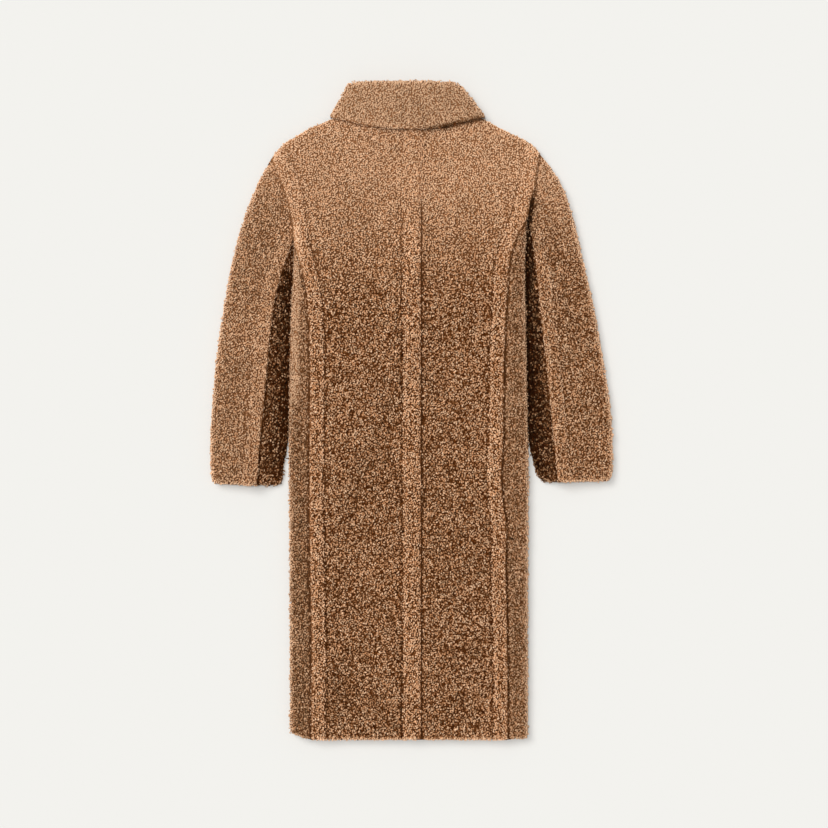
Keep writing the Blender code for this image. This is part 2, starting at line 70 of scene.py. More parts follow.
# The locks.
TOUCH = 0.0001
COVER_REACH = 0.0018  # none grow where something lies this close above
LOCK_SPACING = {"up": 0.0027, "down": 0.0100}
LOCK_LENGTH = {"up": 0.0060, "down": 0.0160}
LOCK_RADIUS = {"up": 0.00146, "down": 0.0026}
LENGTH_SPREAD = (0.65, 1.3)  # shares of the length, from lock to lock
RADIUS_SPREAD = (0.7, 1.25)
SIDE_RADIUS = 0.6  # share of the radius on the garment's sides
LIFT = (-0.0002, 0.0008)  # how far crowns stand over the solid's surface: mean and spread
SHADE_SPREAD = 0.12  # from lock to lock
SMOOTH_SPREAD = 0.45  # share of the spread in lift and shade that smooth pile keeps
FRINGE = 0.0014  # how far locks stand out at the garment's edges
FRINGE_LEAST = 0.5  # share of that, to which each lock adds its own
LOWEST_UP = -0.35  # a face that looks down more steeply than this belongs to the underside
CANDIDATES = 2.6  # places tried for each square of the spacing
NORMAL_SAMPLES = 14  # places round a lock that its own direction is the mean of
FLOOR_CLEARANCE = 0.0002
MOST_LOCKS = 9000  # in one mesh

# The curl of a lock: an S that swings by so many radians in so many waves, and turns over its length.
PATH_POINTS = 4
SWING = (0.4, 1.3)
WAVES = (0.6, 1.3)
CURL_SPREAD = 1.2
ARC_SHARE = 0.84  # it rises and falls along this share of half a wave,
ARC_POWER = 0.7  # faster near its root
RING_SIDES = 3
RING_TURN = math.pi / 6
RING_RADIUS = (0.75, 1.15, 0.95)  # at each point of the lock but its tip

# The way the pile lies, and how far locks turn from it, in radians.
COLLAR_LIE = (0.8, -0.35)  # outwards by this share of X, and down
SLEEVE_LIE = 0.16  # outwards, for each metre down
LOST_LIE = 0.25  # a lie that the surface leaves less of than this is given up
TURN_WAVES = (0.9, 0.5)  # by the slow noise and by the fine one
TURN_SPREAD = 0.75  # from lock to lock
COMBED_TURN = 0.6  # share of the turn on bands and in smooth pile

# The noises: how fast each changes, to a metre, and its channel.
NOISES = {
    "turn": (22.0, 1),
    "fine turn": (70.0, 2),
    "shade": (8.0, 3),
    "fine shade": (34.0, 4),
    "groove": (45.0, 5),
    "hind-arm seam": (75.0, 6),
    "band edge": (80.0, 7),
}
NOISE_SHIFT = (7.3, 3.1, 5.7)  # from one channel to the next
NOISE_GAIN = 1.6

# Seams: the raised bands, by the piece that has them and the pieces that it meets along them, each with
# its width, and the grooves.
BANDS = {
    "back_left": {"side_panel_left": 0.027, "upper_sleeve_left": 0.027, "back_right": 0.034},
    "back_right": {"side_panel_right": 0.027, "upper_sleeve_right": 0.027},
    "upper_sleeve_left": {"under_sleeve_left": 0.027},
    "upper_sleeve_right": {"under_sleeve_right": 0.027},
}
BAND_REACH = 0.044  # how far away a band's seam is looked for
BAND_EDGE = 0.004  # the band fades in over this stretch
BAND_RAGGED = 0.0016  # how far its edge wanders
# painted light on the raised bands, whose crowns face up to the light
BAND_LIGHT = {"body": 0.15, "sleeve": 0.07}
GROOVE_WIDTH = 0.0042
GROOVE_DEPTH = 0.0009
# painted shade in the grooves along seams and band ends
GROOVE_SHADE = 0.28
CROSS_SEAM = 0.0022  # how far locks beside a seam are moved over it
SEAM_REACH = 0.0140  # how far away a seam is still felt
SEAM_GROOVE = (0.35, 0.55)  # a groove's share on a seam's left, and what it has more on its right, deeper there and darker with painted shade on the side away from the key light
BAND_GROOVE = 0.8  # its share where a band ends
GROOVE_WAVES = (0.8, 0.45)  # its mean, and how far the noise takes it from there
CENTRE = 0.080  # the centre seam and its band lie this close to the middle
CENTRE_BAND_TOP = (0.34, 0.40)  # they fade out between these heights
SIDE_SEAM_TOP = (0.10, 0.26)  # and the side seams fade out between these
FADED = 0.3  # share of a band or a side seam that is left above
OTHER_SIDE = {"back": "front", "front": "back"}  # kinds of pieces that lie on each other

# Between each sleeve and the body the pile is darkened with painted shade, darkest beside the body, up to a
# ragged edge at the hind-arm seam, and darker on the right, where it stands for the body's shadow. The
# painted shade is lighter at the cuff and where the seam starts.
DARK_RUN = 0.0360  # from the body outwards
DARK_SHARE = {"left": (0.26, 0.58), "right": (0.05, 0.41)}  # beside the body, and at the run's end
DARK_TOP = {"left": 0.2850, "right": 0.3480}
DARK_TOP_RUN = 0.0400
RAGGED_BY = 0.0060  # how far the ragged edge wanders
RAGGED_RUN = 0.0040  # the dark fades in over this stretch
CUFF_Y = -0.1330
CUFF_RUN = 0.0300
CUFF_LIGHT = 0.12
CUFF_GROOVE = (1.3, 0.25)  # a sleeve's grooves have the first share at the cuff, and the second at least
CUFF_GROOVE_RUNS = 3  # of the cuff's run, for each whole share that they lose

# The shade, which holds the pile's own tone and the painted light and shade: 0.5 is the pile's own colour,
# less is darker.
MEAN_SHADE = 0.50
SHADE_WAVE = 0.03  # of each of its two noises
TROUGH_SHADE = 18.0  # painted shade in the creases' troughs, to a metre of a trough's depth
HEIGHT_RUN = 0.50  # this far up the coat from its middle painted light makes the pile paler by HEIGHT_LIGHT, and painted shade makes it darker by as much as far down
HEIGHT_LIGHT = 0.04  # and darker by as much as far down

# How smooth each kind of piece is, and how much paler than the mean shade, or darker below 0.
KINDS = {
    "back": (0.00, 0.01),
    "front": (0.00, 0.01),
    "side_panel": (0.34, -0.20),
    "upper_sleeve_left": (0.38, -0.10),
    "upper_sleeve_right": (0.15, -0.07),
    "under_sleeve": (0.00, 0.00),
    "collar": (0.90, -0.23),
}
YOKE = (0.20, 0.42)  # between these heights the back grows smoother, and its bands grow fainter
YOKE_SMOOTH = 0.60
YOKE_BAND = 0.55
SMOOTH_DEPTH = 0.62  # of the pile's depth

# The pile is smooth at the garment's rim, and painted light makes it pale there. The rim starts where
# the normal's Z falls below RIM_FROM, and is full where it has fallen by RIM_RUN.
RIM_FROM = 0.93
RIM_RUN = 0.45
EDGE_SMOOTH = 0.90
EDGE_LIGHT = 0.22

# It is smooth, and with SMOOTH_LIGHT paler, along these runs too, such as the painted light down the body's
# left edge: where each starts and ends, its half width, and how smooth it is.
SMOOTH_RUNS = [
    (-0.2065, 0.3300, -0.2100, 0.0200, 0.0120, 1.00),
    (-0.2370, 0.4400, -0.1970, 0.2700, 0.0110, 0.55),
    (0.2080, 0.4400, 0.1650, 0.2700, 0.0110, 0.45),
    (0.2010, 0.2700, 0.2040, 0.1900, 0.0060, 0.55),
]
SMOOTH_LIGHT = 0.20  # how much paler smooth pile is: partly its own paleness, partly painted light where it lies along the rim and edges
SMOOTH_ROOTS = 0.80  # how far smooth pile hides its roots

# Painted light and shade, where the pile is paler or darker than round it: the painted shadow under the
# collar's edge, painted shade between the right sleeve and the body and along creases, and painted light on
# the collar's left. Each run's start and end, its half width and its tone.
LIGHT_AND_SHADE_RUNS = [
    (0.0300, 0.5050, 0.0620, 0.5095, 0.0036, -0.34),
    (0.0620, 0.5095, 0.1280, 0.5240, 0.0042, -0.44),
    (0.2235, 0.3960, 0.2165, 0.3740, 0.0040, -0.34),
    (0.2165, 0.3740, 0.2120, 0.3420, 0.0050, -0.50),
    (0.2120, 0.3420, 0.2105, 0.3060, 0.0050, -0.34),
    (0.2235, 0.3720, 0.2190, 0.2900, 0.0080, -0.18),
    (-0.1200, 0.5240, -0.0300, 0.5100, 0.0050, 0.10),
    (-0.0210, 0.0730, -0.0780, -0.0950, 0.0260, -0.04),
    (0.0300, 0.3600, 0.0260, -0.1200, 0.0140, -0.05),
    (-0.1300, -0.4300, -0.1180, -0.5500, 0.0220, -0.05),
    (0.1150, -0.4300, 0.0800, -0.5400, 0.0220, -0.04),
]

# The main creases: where each starts and ends, its half width, and its height, below 0 in a trough.
CREASE_SHARE = (0.55, 0.45)  # of its height at its ends, and what it has more in its middle
CREASES = {
    "up": [
        (-0.021, 0.073, -0.078, -0.095, 0.015, -0.0026),
        (-0.072, -0.080, -0.122, -0.225, 0.018, -0.0034),
        (-0.098, 0.165, -0.070, 0.030, 0.014, -0.0016),
        (-0.158, 0.056, -0.106, 0.047, 0.007, 0.0014),
        (-0.154, 0.046, -0.112, 0.036, 0.006, -0.0018),
        (-0.150, -0.292, -0.100, -0.308, 0.009, -0.0020),
        (-0.108, -0.445, -0.156, -0.548, 0.014, -0.0030),
        (-0.062, -0.310, -0.050, -0.450, 0.022, 0.0018),
        (0.036, -0.283, 0.150, -0.292, 0.010, 0.0014),
        (0.138, -0.400, 0.044, -0.470, 0.015, -0.0026),
        (0.118, -0.150, 0.134, -0.232, 0.012, -0.0022),
        (0.082, 0.015, 0.098, -0.130, 0.022, 0.0018),
        (0.092, 0.350, 0.124, 0.225, 0.016, -0.0018),
        (-0.094, 0.375, -0.060, 0.260, 0.018, -0.0016),
        (0.0184, 0.382, 0.0184, 0.545, 0.0040, 0.0040),
        (-0.240, 0.372, -0.281, 0.236, 0.010, -0.0026),
        (-0.272, 0.330, -0.306, 0.190, 0.012, 0.0016),
        (-0.322, 0.120, -0.318, -0.010, 0.014, -0.0016),
        (0.250, 0.340, 0.277, 0.262, 0.009, -0.0028),
        (0.279, 0.255, 0.296, 0.070, 0.013, -0.0022),
        (0.266, 0.352, 0.303, 0.232, 0.010, 0.0016),
        (0.330, 0.060, 0.322, -0.060, 0.012, -0.0014),
    ],
    "down": [
        (-0.150, 0.210, -0.090, 0.040, 0.018, -0.0020),
        (-0.080, -0.060, -0.130, -0.240, 0.016, -0.0024),
        (-0.060, -0.330, -0.110, -0.470, 0.020, -0.0018),
        (0.140, 0.160, 0.080, -0.010, 0.017, -0.0022),
        (0.090, -0.150, 0.130, -0.300, 0.014, -0.0020),
        (0.120, -0.400, 0.070, -0.520, 0.018, -0.0024),
    ],
}

FLOOR_HALF = 12.0
FLOOR_COLOUR = (0.716, 0.710, 0.683, 1.0)

# The camera looks straight down. The frame's width and its middle come from the coat's size in the photo.
CAMERA_HEIGHT = 5.0
FRAME_WIDTH = 1.4904
FRAME_MIDDLE = (0.0045, -0.0063)
SENSOR_WIDTH = 36.0
WIDEST_HEIGHT = 0.0125  # the coat is widest this far over the floor


def lerp(a, b, t):
    return a + (b - a) * t


def share_between(values, low, high):
    """How far each value has come from low to high, from 0 to 1."""
    return np.clip((values - low) / (high - low), 0, 1)


def unit(vectors):
    return vectors / np.maximum(np.linalg.norm(vectors, axis=-1, keepdims=True), TINY)


class Surface:
    """A CAD node's faces with its corners joined."""

    def __init__(self, name):
        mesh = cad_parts[name].data
        mesh.calc_loop_triangles()
        points = np.zeros(len(mesh.vertices) * 3)
        mesh.vertices.foreach_get("co", points)
        triangles = np.zeros(len(mesh.loop_triangles) * 3, int)
        mesh.loop_triangles.foreach_get("vertices", triangles)
        rounded = np.round(points.reshape(-1, 3), JOIN_DIGITS)
        self.points, place = np.unique(rounded, axis=0, return_inverse=True)
        self.triangles = place.ravel()[triangles].reshape(-1, 3)
        a, b, c = (self.points[self.triangles[:, i]] for i in range(3))
        crossed = np.cross(b - a, c - a)
        self.areas = np.linalg.norm(crossed, axis=1) / 2
        real = self.areas > TINY
        self.triangles, self.areas = self.triangles[real], self.areas[real]
        self.normals = unit(crossed[real])
        self.tree = BVHTree.FromPolygons(self.points.tolist(), self.triangles.tolist())

    def spread(self, count, rng):
        """count points spread at random over the surface: (points, face normals)."""
        chosen = rng.choice(len(self.areas), count, p=self.areas / self.areas.sum())
        u, v = rng.random((2, count, 1))
        u, v = np.where(u + v > 1, 1 - u, u), np.where(u + v > 1, 1 - v, v)
        corners = self.triangles[chosen]
        shares = np.stack([1 - u - v, u, v])
        points = sum(shares[i] * self.points[corners[:, i]] for i in range(3))
        return points, self.normals[chosen]


SURFACES = {name: Surface(name) for name in sorted(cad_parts)}


def joined_tree(names):
    """One search tree over the faces of several nodes."""
    points, triangles, first = [], [], 0
    for surface in (SURFACES[name] for name in names):
        points.append(surface.points)
        triangles.append(surface.triangles + first)
        first += len(surface.points)
    return BVHTree.FromPolygons(np.concatenate(points).tolist(), np.concatenate(triangles).tolist())


EVERYTHING = joined_tree(SURFACES)
OTHERS = {name: joined_tree([other for other in SURFACES if other != name]) for name in SURFACES}


def seamed_to(name):
    """The pieces that a piece has visible seams with: all but those on the coat's other side."""
    far_kind = OTHER_SIDE.get(name.split("_")[0])
    return [other for other in SURFACES if other != name and other.split("_")[0] != far_kind]


SEAMED_TO = {name: joined_tree(seamed_to(name)) for name in SURFACES}


def clear_above(points, normals, reach):
    """Whether nothing lies close above the surface at each point, such as the next layer of cloth."""
    rays = zip((points + normals * TOUCH).tolist(), normals.tolist())
    return np.array([EVERYTHING.ray_cast(start, way, reach)[0] is None for start, way in rays], bool)


def nearest(tree, points, reach):
    """For each point, how far the tree's faces are, at most reach, and the way to them."""
    gaps = np.full(len(points), reach)
    ways = np.zeros((len(points), 3))
    for i, place in enumerate(points.tolist()):
        found, _, _, distance = tree.find_nearest(place, reach)
        if found is not None:
            gaps[i] = distance
            ways[i] = (found - Vector(place)) / max(distance, TINY)
    return gaps, ways


def pile_depths(name, points, normals, smooth):
    """How deep the backing lies under each point of a piece's surface."""
    tree = SURFACES[name].tree
    starts = points - normals * TOUCH * 2
    walls = []
    for start, way in zip(starts.tolist(), (-normals).tolist()):
        distance = tree.ray_cast(start, way, WALL_REACH)[3]
        walls.append(WALL_REACH if distance is None else distance)
    return np.minimum(PILE_DEPTH * lerp(1.0, SMOOTH_DEPTH, smooth), DEPTH_SHARE * np.array(walls))


def beside_run(points, start_x, start_y, end_x, end_y, width):
    """For each point, how far along a straight run it lies, and how near to it, which is 1 on the run."""
    start = np.array([start_x, start_y])
    run = np.array([end_x - start_x, end_y - start_y])
    along = np.clip((points[:, :2] - start) @ run / (run @ run), 0, 1)
    gap = np.linalg.norm(points[:, :2] - start - along[:, None] * run, axis=1)
    return along, np.exp(-(gap / width) ** 2)


def relief(points, normals):
    """How far the main creases lift the surface, which is below 0 in a trough."""
    lift = np.zeros(len(points))
    at_ends, more_in_middle = CREASE_SHARE
    for facing, sign in (("up", 1), ("down", -1)):
        share = np.clip(sign * normals[:, 2], 0, 1)
        for *run, height in CREASES[facing]:
            along, near = beside_run(points, *run)
            fade = at_ends + more_in_middle * np.sin(math.pi * along)
            lift += share * height * fade * near
    return lift


def kind_of(name):
    """How smooth a piece's pile is, and how much paler than the mean."""
    return next(facts for kind, facts in KINDS.items() if name.startswith(kind))


def at_edge(normals, seam_gap):
    """How far the surface is at the garment's rim: 1 where it turns over, 0 on top, below and at seams."""
    facing = normals[:, 2]
    turned = np.clip((RIM_FROM - facing) / RIM_RUN, 0, 1) * np.clip(1 + facing * 2, 0, 1)
    return turned * np.clip(seam_gap / SEAM_REACH, 0, 1)


def in_yoke(points):
    """How far up between the heights of YOKE each point lies, from 0 to 1."""
    return share_between(points[:, 1], *YOKE)


def smoothness(name, points, normals, at_rim):
    """How smooth the pile lies, from 0 to 1."""
    if name.startswith("under_sleeve"):
        return np.zeros(len(points))
    facing = normals[:, 2]
    smooth = np.maximum(EDGE_SMOOTH * at_rim, kind_of(name)[0])
    smooth = np.maximum(smooth, YOKE_SMOOTH * in_yoke(points) * (facing > 0))
    for *run, share in SMOOTH_RUNS:
        smooth = np.maximum(smooth, share * beside_run(points, *run)[1] * (facing > 0))
    return smooth


def swirl(points, use):
    """One of the noises at each point, between about -1 and 1."""
    scale, channel = NOISES[use]
    shift = Vector([channel * step for step in NOISE_SHIFT])
    return np.array([noise.noise(Vector(p) * scale + shift) for p in points.tolist()]) * NOISE_GAIN


def band_facts(name, points, normals):
    """For each point, how far it lies inside its piece's nearest band, and the way to that band's seam."""
    inside = np.full(len(points), -1.0)
    ways = np.zeros((len(points), 3))
    for other, width in BANDS.get(name, {}).items():
        gap, way = nearest(SURFACES[other].tree, points, BAND_REACH)
        to_seam = way * gap[:, None]
        to_seam -= normals * (to_seam * normals).sum(1, keepdims=True)
        depth = np.where(way.any(1), width - np.linalg.norm(to_seam, axis=1), -1.0)
        deeper = depth > inside
        inside[deeper] = depth[deeper]
        ways[deeper] = unit(to_seam[deeper])
    return inside, ways


def past_seam(name, points):
    """How far each point of a sleeve lies past its hind-arm seam, from 0 to 1, with a ragged edge."""
    side = name.rsplit("_", 1)[1]
    under = name.startswith("under")
    other = SURFACES[("upper_sleeve_" if under else "under_sleeve_") + side]
    gap = nearest(other.tree, points, SEAM_REACH)[0] * (1 if under else -1)
    return np.clip(0.5 + (gap + RAGGED_BY * swirl(points, "hind-arm seam")) / RAGGED_RUN, 0, 1)


class Pile:
    """The pile at some points of a piece: its bands, grooves and creases, and how smooth and pale it is."""

    def __init__(self, name, points, normals):
        self.inside, self.to_band = band_facts(name, points, normals)
        self.inside += BAND_RAGGED * swirl(points, "band edge")
        faded = share_between(points[:, 1], *CENTRE_BAND_TOP) * (np.abs(points[:, 0]) < CENTRE)
        self.in_band = np.clip(self.inside / BAND_EDGE, 0, 1) * lerp(1.0, FADED, faded)
        self.in_band *= lerp(1.0, YOKE_BAND, in_yoke(points))
        seam_gap, self.to_seam = nearest(SEAMED_TO[name], points, SEAM_REACH)
        self.at_seam = np.clip(1 - seam_gap / GROOVE_WIDTH, 0, 1)
        self.groove = self.grooves(name, points) * (1 - faded)
        self.at_rim = at_edge(normals, seam_gap)
        self.smooth = smoothness(name, points, normals, self.at_rim)
        self.relief = relief(points, normals)
        self.shade = self.shades(name, points, normals)

    def grooves(self, name, points):
        """How far each point lies in a groove: along the seams, and where a body band ends. A groove lowers
        the locks and darkens them with painted shade, more on a seam's right.
        """
        at_left, more_at_right = SEAM_GROOVE
        right_of_seam = np.clip(-self.to_seam[:, 0], 0, 1)
        at_seam = self.at_seam * (at_left + more_at_right * right_of_seam)
        if "sleeve" in name:
            at_cuff, least = CUFF_GROOVE
            up_sleeve = (points[:, 1] - CUFF_Y) / (CUFF_GROOVE_RUNS * CUFF_RUN)
            return at_seam * np.clip(at_cuff - up_sleeve, least, 1)
        up_side = share_between(points[:, 1], *SIDE_SEAM_TOP) * (np.abs(points[:, 0]) > CENTRE)
        at_seam *= lerp(1.0, FADED, up_side)
        band_end = BAND_GROOVE * np.clip(1 - np.abs(self.inside) / GROOVE_WIDTH, 0, 1)
        mean, wave = GROOVE_WAVES
        return np.clip(np.maximum(at_seam, band_end) * (mean + wave * swirl(points, "groove")), 0, 1)

    def shades(self, name, points, normals):
        """How pale the pile is: by its piece and its own noise, with painted light on bands, smooth pile,
        rims and up the coat, and painted shade in grooves, troughs and along LIGHT_AND_SHADE_RUNS.
        """
        kind_light = kind_of(name)[1]
        band_light = BAND_LIGHT["sleeve" if "sleeve" in name else "body"]
        shade = MEAN_SHADE + kind_light + SHADE_WAVE * swirl(points, "shade")
        shade += SHADE_WAVE * swirl(points, "fine shade")
        shade += band_light * self.in_band + SMOOTH_LIGHT * self.smooth
        height_light = HEIGHT_LIGHT * np.clip(points[:, 1] / HEIGHT_RUN, -1, 1)
        shade += TROUGH_SHADE * np.minimum(self.relief, 0) + height_light
        shade += EDGE_LIGHT * self.at_rim - GROOVE_SHADE * self.groove
        for *run, tone in LIGHT_AND_SHADE_RUNS:
            shade += tone * beside_run(points, *run)[1] * (normals[:, 2] > 0)
        return self.darkened(name, points, normals, shade) if "sleeve" in name else shade

    def darkened(self, name, points, normals, shade):
        """A sleeve's shade, darkened with painted shade in the narrow space beside the body, from the body
        outwards.
        """
        side = name.rsplit("_", 1)[1]
        body = joined_tree(["side_panel_" + side, "back_" + side])
        away = np.clip(nearest(body, points, 1.0)[0] / DARK_RUN, 0, 1)
        at_cuff = np.clip(1 - (points[:, 1] - CUFF_Y) / CUFF_RUN, 0, 1)
        dark = shade * lerp(*DARK_SHARE[side], away) + CUFF_LIGHT * at_cuff * away
        below_top = np.clip((DARK_TOP[side] - points[:, 1]) / DARK_TOP_RUN, 0, 1)
        facing_up = np.clip(0.5 + 2 * normals[:, 2], 0, 1)
        return lerp(shade, dark, past_seam(name, points) * facing_up * below_top)


def give_values(mesh, values):
    """Puts named values on a mesh's points, for its material."""
    for label, numbers in values.items():
        attribute = mesh.attributes.new(label, "FLOAT", "POINT")
        attribute.data.foreach_set("value", np.asarray(numbers, np.float32).ravel())


def link(name, mesh):
    piece = bpy.data.objects.new(name, mesh)
    bpy.context.scene.collection.objects.link(piece)
    return piece


def backing(name):
    """The piece's own cloth: its solid with finer faces, drawn in by the pile's depth where that shows."""
    surface = SURFACES[name]
    mesh = bpy.data.meshes.new(name + "_cloth")
    mesh.from_pydata(surface.points.tolist(), [], surface.triangles.tolist())
    shape = bmesh.new()
    shape.from_mesh(mesh)
    for _ in range(BACKING_SPLITS):
        long_edges = [edge for edge in shape.edges if edge.calc_length() > BACKING_EDGE]
        if not long_edges:
            break
        bmesh.ops.subdivide_edges(shape, edges=long_edges, cuts=1)
        bmesh.ops.triangulate(shape, faces=[face for face in shape.faces if len(face.verts) > 3])
    shape.normal_update()
    points = np.array([vertex.co for vertex in shape.verts])
    normals = unit(np.array([vertex.normal for vertex in shape.verts]))
    beside = nearest(OTHERS[name], points, CREASE_REACH)[0] < CREASE_REACH
    shows = clear_above(points, normals, LAYER_REACH) & ~(beside & (np.abs(normals[:, 2]) < SIDE_ON))
    pile = Pile(name, points, normals)
    drawn_in = (pile_depths(name, points, normals, pile.smooth) - pile.relief) * shows
    places = points - normals * drawn_in[:, None]
    if name.startswith("under_sleeve"):
        below_top = points[:, 1].max() - points[:, 1]
        places[:, 1] += TOP_REACH * np.clip(1 - below_top / TOP_RUN, 0, 1)
    for vertex, place in zip(shape.verts, places):
        vertex.co = place
    shape.to_mesh(mesh)
    shape.free()
    mesh.shade_smooth()
    give_values(mesh, {"shade": np.clip(pile.shade, 0, 1), "smooth": pile.smooth})
    return link(name + "_cloth", mesh)


def apart(points, spacing):
    """Which points to keep so that no two kept ones are nearer than the spacing."""
    kept, cells = [], {}
    near = [(i, j, k) for i in (-1, 0, 1) for j in (-1, 0, 1) for k in (-1, 0, 1)]
    limit = spacing * spacing
    places = np.floor(points / spacing).astype(int).tolist()
    values = points.tolist()
    for index, ((a, b, c), (x, y, z)) in enumerate(zip(places, values)):
        others = [q for i, j, k in near for q in cells.get((a + i, b + j, c + k), ())]
        if all((x - p) ** 2 + (y - q) ** 2 + (z - r) ** 2 >= limit for p, q, r in others):
            kept.append(index)
            cells.setdefault((a, b, c), []).append((x, y, z))
    return np.array(kept, int)


def smooth_normals(points, sources, source_normals):
    """The mean direction of the bare surface round each point, also across seams and edges."""
    tree = KDTree(len(sources))
    for index, place in enumerate(sources.tolist()):
        tree.insert(place, index)
    tree.balance()
    result = np.zeros_like(points)
    for i, place in enumerate(points.tolist()):
        found = tree.find_n(place, NORMAL_SAMPLES)
        result[i] = source_normals[[index for _, index, _ in found]].sum(0)
    return unit(result)


def lie_of_pile(name, points, normals):
    """The way the pile lies: down the garment, and out over the collar's fall."""
    flow = np.tile([0.0, -1.0, 0.0], (len(points), 1))
    if name == "collar":
        outwards, down = COLLAR_LIE
        flow[:, 0] = points[:, 0] * outwards
        flow[:, 1] = down
    elif "sleeve" in name:
        flow[:, 0] = -SLEEVE_LIE if name.endswith("left") else SLEEVE_LIE
    flow -= normals * (flow * normals).sum(1, keepdims=True)
    lost = np.linalg.norm(flow, axis=1) < LOST_LIE
    flow[lost] = np.cross(normals[lost], [1.0, 0.0, 0.0])
    return unit(flow)


def lock_ways(name, points, normals, pile, rng):
    """The way each lock runs: with the pile's lie, or along the seam on a band, turned a little."""
    flow = lie_of_pile(name, points, normals)
    seam_way = unit(np.cross(normals, pile.to_band))
    seam_way *= np.sign((seam_way * flow).sum(1, keepdims=True) + TINY)
    slow, fine = TURN_WAVES
    turn = slow * swirl(points, "turn") + fine * swirl(points, "fine turn")
    turn += rng.normal(0, TURN_SPREAD, len(points))
    turn *= lerp(1.0, COMBED_TURN, np.maximum(pile.in_band, pile.smooth))
    flow = unit(lerp(flow, seam_way, pile.in_band[:, None]))
    side = np.cross(normals, flow)
    return flow * np.cos(turn)[:, None] + side * np.sin(turn)[:, None]


def lock_paths(points, normals, flow, depths, lengths, lifts, rng):
    """The middle line of each lock: up from the backing, then over in an uneven S along the flow.

    Each point of it stays over the solid's surface, so that locks bend round edges with it.
    """
    count = len(points)
    s = np.linspace(0, 1, PATH_POINTS)
    swing = rng.uniform(*SWING, (count, 1))
    waves = rng.uniform(*WAVES, (count, 1))
    phase = rng.uniform(0, 1, (count, 1))
    curl = rng.normal(0, CURL_SPREAD, (count, 1))
    turn = swing * np.sin(2 * np.pi * (waves * s + phase)) + curl * (s - 0.5)
    step = lengths[:, None] / (PATH_POINTS - 1)
    along = np.cumsum(np.cos(turn) * step, axis=1)
    across = np.cumsum(np.sin(turn) * step, axis=1)
    along -= along.mean(1, keepdims=True)
    across -= across.mean(1, keepdims=True)
    rise = np.sin(np.pi * ARC_SHARE * s**ARC_POWER)
    height = (depths + lifts)[:, None] * rise - depths[:, None]
    side = np.cross(normals, flow)
    path = points[:, None] + along[..., None] * flow[:, None] + across[..., None] * side[:, None]
    on_surface = [EVERYTHING.find_nearest(place)[0] for place in path.reshape(-1, 3).tolist()]
    return np.array(on_surface).reshape(path.shape) + height[..., None] * normals[:, None], height


def lock_corners(per_lock, rings):
    """The corners of one lock's faces, and each face's number of corners."""
    corners, sizes = [], []
    for r in range(rings - 1):
        low, high = r * RING_SIDES, (r + 1) * RING_SIDES
        for j in range(RING_SIDES):
            k = (j + 1) % RING_SIDES
            corners += [low + j, low + k, high + k, high + j]
            sizes.append(4)
    last = (rings - 1) * RING_SIDES
    for j in range(RING_SIDES):
        corners += [last + j, last + (j + 1) % RING_SIDES, per_lock - 1]
        sizes.append(3)
    corners += list(range(RING_SIDES - 1, -1, -1))
    sizes.append(RING_SIDES)
    return np.array(corners), np.array(sizes)


def lock_mesh(name, path, height, normals, depths, radii, smooth, shade):
    """Locks as one mesh: rings of RING_SIDES points round each path, closed at both ends."""
    count, rings = len(path), PATH_POINTS - 1
    way = unit(np.gradient(path, axis=1))
    side = unit(np.cross(normals[:, None], way))
    up = np.cross(way, side)
    angles = RING_TURN + 2 * math.pi * np.arange(RING_SIDES) / RING_SIDES
    radius = radii[:, None] * np.array(RING_RADIUS)
    ring = np.cos(angles)[:, None] * side[:, :rings, None] + np.sin(angles)[:, None] * up[:, :rings, None]
    ring = ring * radius[:, :, None, None]
    points = np.concatenate([(path[:, :rings, None] + ring).reshape(count, -1, 3), path[:, -1:]], axis=1)
    per_lock = points.shape[1]
    ring_height = (ring * normals[:, None, None]).sum(3) + height[:, :rings, None]
    below_tips = -np.concatenate([ring_height.reshape(count, -1), height[:, -1:]], axis=1) / depths[:, None]
    rise = 1 - below_tips * (1 - SMOOTH_ROOTS * smooth[:, None])
    points = points.reshape(-1, 3)
    points[:, 2] = np.maximum(points[:, 2], FLOOR_CLEARANCE)

    corners, sizes = lock_corners(per_lock, rings)
    corners = (corners[None] + per_lock * np.arange(count)[:, None]).ravel()
    sizes = np.tile(sizes, count)
    mesh = bpy.data.meshes.new(name)
    mesh.vertices.add(len(points))
    mesh.vertices.foreach_set("co", points.astype(np.float32).ravel())
    mesh.loops.add(len(corners))
    mesh.loops.foreach_set("vertex_index", corners.astype(np.int32))
    mesh.polygons.add(len(sizes))
    mesh.polygons.foreach_set("loop_start", (np.cumsum(sizes) - sizes).astype(np.int32))
    mesh.update(calc_edges=True)
    mesh.shade_smooth()
    give_values(mesh, {"rise": np.clip(rise, 0, 1), "shade": np.repeat(shade, per_lock)})
    return link(name, mesh)


def lock_roots(facing, rng):
    """Where locks stand on the faces that look up and sideways, or on those that look down.

    Gives the points, their smooth normals and the number of the piece that each is on.
    """
    spacing = LOCK_SPACING[facing]
    points, normals, owners = [], [], []
    for number, surface in enumerate(SURFACES.values()):
        p, n = surface.spread(int(CANDIDATES * surface.areas.sum() / spacing**2), rng)
        seen = (n[:, 2] > LOWEST_UP) if facing == "up" else (n[:, 2] <= LOWEST_UP)
        p, n = p[seen], n[seen]
        free = clear_above(p, n, COVER_REACH)
        points.append(p[free])
        normals.append(n[free])
        owners.append(np.full(int(free.sum()), number))
    points, normals, owners = (np.concatenate(part) for part in (points, normals, owners))
    order = rng.permutation(len(points))
    points, normals, owners = points[order], normals[order], owners[order]
    kept = apart(points, spacing)
    return points[kept], smooth_normals(points[kept], points, normals), owners[kept]


